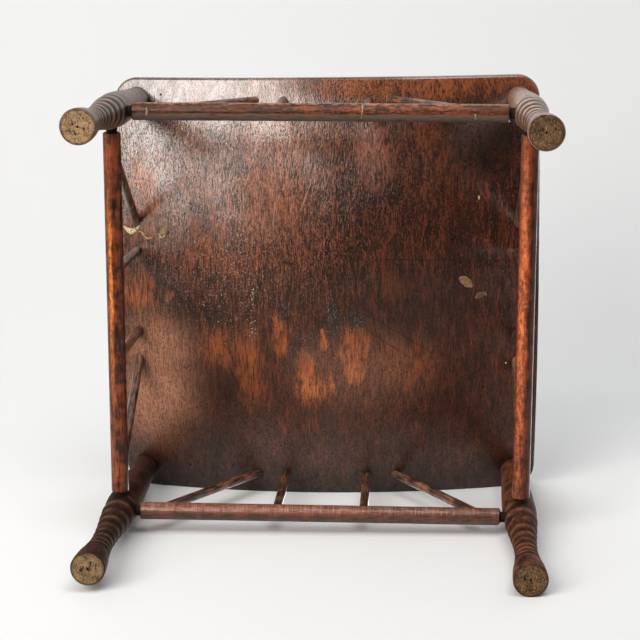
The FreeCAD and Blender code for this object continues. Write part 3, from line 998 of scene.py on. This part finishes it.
def stage_mesh(name, vertices, faces, material):
    """A smooth stage surface."""
    mesh = bpy.data.meshes.new(name)
    mesh.from_pydata(vertices, [], faces)
    mesh.polygons.foreach_set("use_smooth", [True] * len(mesh.polygons))
    mesh.materials.append(material)
    surface = bpy.data.objects.new(name, mesh)
    bpy.context.scene.collection.objects.link(surface)
    return surface


def make_sweep():
    """The sweep under the lying stool, through its front foot and the seat's front edge."""
    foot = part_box("leg_front_left")[0][1]
    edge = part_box("seat_board")[0][1]
    slope = (edge - foot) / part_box("seat_board")[1][2]
    bend_height = foot + slope * SWEEP_BEND_START
    profile = [(foot + slope * SWEEP_NEAR, SWEEP_NEAR)]
    for step in range(SWEEP_BEND_STEPS + 1):
        angle = math.pi / 2 * step / SWEEP_BEND_STEPS
        rise = SWEEP_BEND_RADIUS * (1 - math.cos(angle))
        run = SWEEP_BEND_RADIUS * math.sin(angle)
        profile.append((bend_height + rise, SWEEP_BEND_START + run))
    profile.append((SWEEP_WALL_HEIGHT, SWEEP_BEND_START + SWEEP_BEND_RADIUS))
    vertices = [(x, y, z) for y, z in profile for x in (-SWEEP_HALF_WIDTH, SWEEP_HALF_WIDTH)]
    faces = [(2 * i, 2 * i + 2, 2 * i + 3, 2 * i + 1) for i in range(len(profile) - 1)]
    tree = Tree("sweep_paper")
    # The paper is painted darker near the camera and lighter under the stool, as painted shade and
    # light
    depth = tree.part_of(tree.place(), 2)
    farther = tree.ramp(depth, *PAPER_NEAR_TO_MIDDLE)
    paper = tree.mix(farther, srgb(*PAPER_NEAR_PAINTED_SHADE), srgb(*PAPER_MIDDLE_PAINTED_LIGHT))
    paper = tree.mix(tree.ramp(depth, *PAPER_MIDDLE_TO_WALL), paper, srgb(*PAPER_WALL))
    stage_mesh("sweep", vertices, faces, one_sided(tree, paper))


def make_standing_floor():
    """The floor that the stool stands on when it is upright; it neither shades nor tints it."""
    half = STANDING_FLOOR_HALF
    vertices = [(-half, -half, 0.0), (half, -half, 0.0), (half, half, 0.0), (-half, half, 0.0)]
    tree = Tree("floor_paint")
    far = tree.ramp(tree.vector("LENGTH", tree.place()), *STANDING_FLOOR_FADE)
    material = one_sided(tree, srgb(*FLOOR_PAINT), far)
    floor = stage_mesh("standing_floor", vertices, [(0, 1, 2, 3)], material)
    floor.visible_shadow = False
    floor.visible_diffuse = False
    floor.visible_glossy = False
    return floor


def make_dark_side():
    """The dark side of the studio behind the camera, shown by gloss and by nothing else."""
    low, high = DARK_SIDE_HEIGHT
    half = DARK_SIDE_HALF_WIDTH
    corners = [(-half, low), (half, low), (half, high), (-half, high)]
    vertices = [(x, y, DARK_SIDE_DEPTH) for x, y in corners]
    tree = Tree("dark_cloth")
    tree.put(tree.shader.inputs["Base Color"], srgb(*DARK_CLOTH))
    tree.put(tree.shader.inputs["Roughness"], STAGE_ROUGHNESS)
    side = stage_mesh("dark_side", vertices, [(0, 1, 2, 3)], tree.material)
    side.visible_camera = False
    side.visible_shadow = False
    side.visible_diffuse = False


def make_lamp(name, towards, distance, side, level, colour=WHITE, up=PART_BACK):
    """A square soft lamp that faces the seat and lights it at a level."""
    data = bpy.data.lights.new(name, "AREA")
    data.shape = "SQUARE"
    data.size = side
    data.color = colour
    data.energy = level * (math.pi * distance) ** 2
    lamp = bpy.data.objects.new(name, data)
    away = towards.normalized()
    across = up.cross(away).normalized()
    turn = Matrix((across, away.cross(across), away)).transposed().to_4x4()
    lamp.matrix_world = Matrix.Translation(SEAT_MIDDLE + away * distance) @ turn
    lamp.visible_camera = False
    bpy.context.scene.collection.objects.link(lamp)
    return lamp


def make_world():
    """A dim even surround, seen by the camera and in gloss as a pale background."""
    world = bpy.data.worlds.new("studio")
    world.use_nodes = True
    nodes = world.node_tree.nodes
    links = world.node_tree.links
    background = nodes["Background"]
    background.inputs["Color"].default_value = srgb(*STUDIO_WHITE)
    path = nodes.new("ShaderNodeLightPath").outputs
    seen = path["Is Camera Ray"]
    for kind in ("Is Glossy Ray", "Is Transmission Ray"):
        either = nodes.new("ShaderNodeMath")
        either.operation = "MAXIMUM"
        links.new(seen, either.inputs[0])
        links.new(path[kind], either.inputs[1])
        seen = either.outputs[0]
    strength = nodes.new("ShaderNodeMapRange")
    strength.inputs["To Min"].default_value = WORLD_LIGHT
    strength.inputs["To Max"].default_value = WORLD_SEEN
    links.new(seen, strength.inputs["Value"])
    links.new(strength.outputs[0], background.inputs["Strength"])
    bpy.context.scene.world = world


def make_camera():
    """The photograph's camera."""
    data = bpy.data.cameras.new("camera")
    data.sensor_fit = "HORIZONTAL"
    data.angle = CAMERA_VIEW_ANGLE
    data.clip_end = CAMERA_REACH
    camera = bpy.data.objects.new("camera", data)
    back = (CAMERA_PLACE - CAMERA_TARGET).normalized()
    right = CAMERA_UP.cross(back).normalized()
    up = back.cross(right)
    turn = Matrix((right, up, back)).transposed().to_4x4()
    camera.matrix_world = Matrix.Translation(CAMERA_PLACE) @ turn
    bpy.context.scene.collection.objects.link(camera)
    bpy.context.scene.camera = camera


bpy.context.scene.view_settings.view_transform = "Standard"
make_camera()
make_world()
make_sweep()
standing_floor = make_standing_floor()
make_dark_side()
make_lamp("key_lamp", **KEY_LAMP, colour=KEY_COLOUR, up=KEY_UP)
make_lamp("top_lamp", **TOP_LAMP)
standing_lamp = make_lamp("standing_lamp", **STANDING_LAMP)

# The lamp over the standing stool doesn't light the sweep, and the sweep doesn't shade it
lit = bpy.data.collections.new("lit_when_standing")
solid = bpy.data.collections.new("solid_when_standing")
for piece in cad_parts.values():
    lit.objects.link(piece)
    solid.objects.link(piece)
lit.objects.link(standing_floor)
standing_lamp.light_linking.receiver_collection = lit
standing_lamp.light_linking.blocker_collection = solid

for index, name in enumerate(sorted(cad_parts)):
    if name == "seat_board":
        dress(name, seat_material())
    elif name.startswith("leg_"):
        dress(name, leg_material(name, index))
    elif name.startswith("stretcher_"):
        dress(name, stretcher_material(name, index))
    else:
        dress(name, spindle_material(name, index))

for name, (node, colour, path) in GLUE_RUNS.items():
    make_glue(name, node, colour, path)
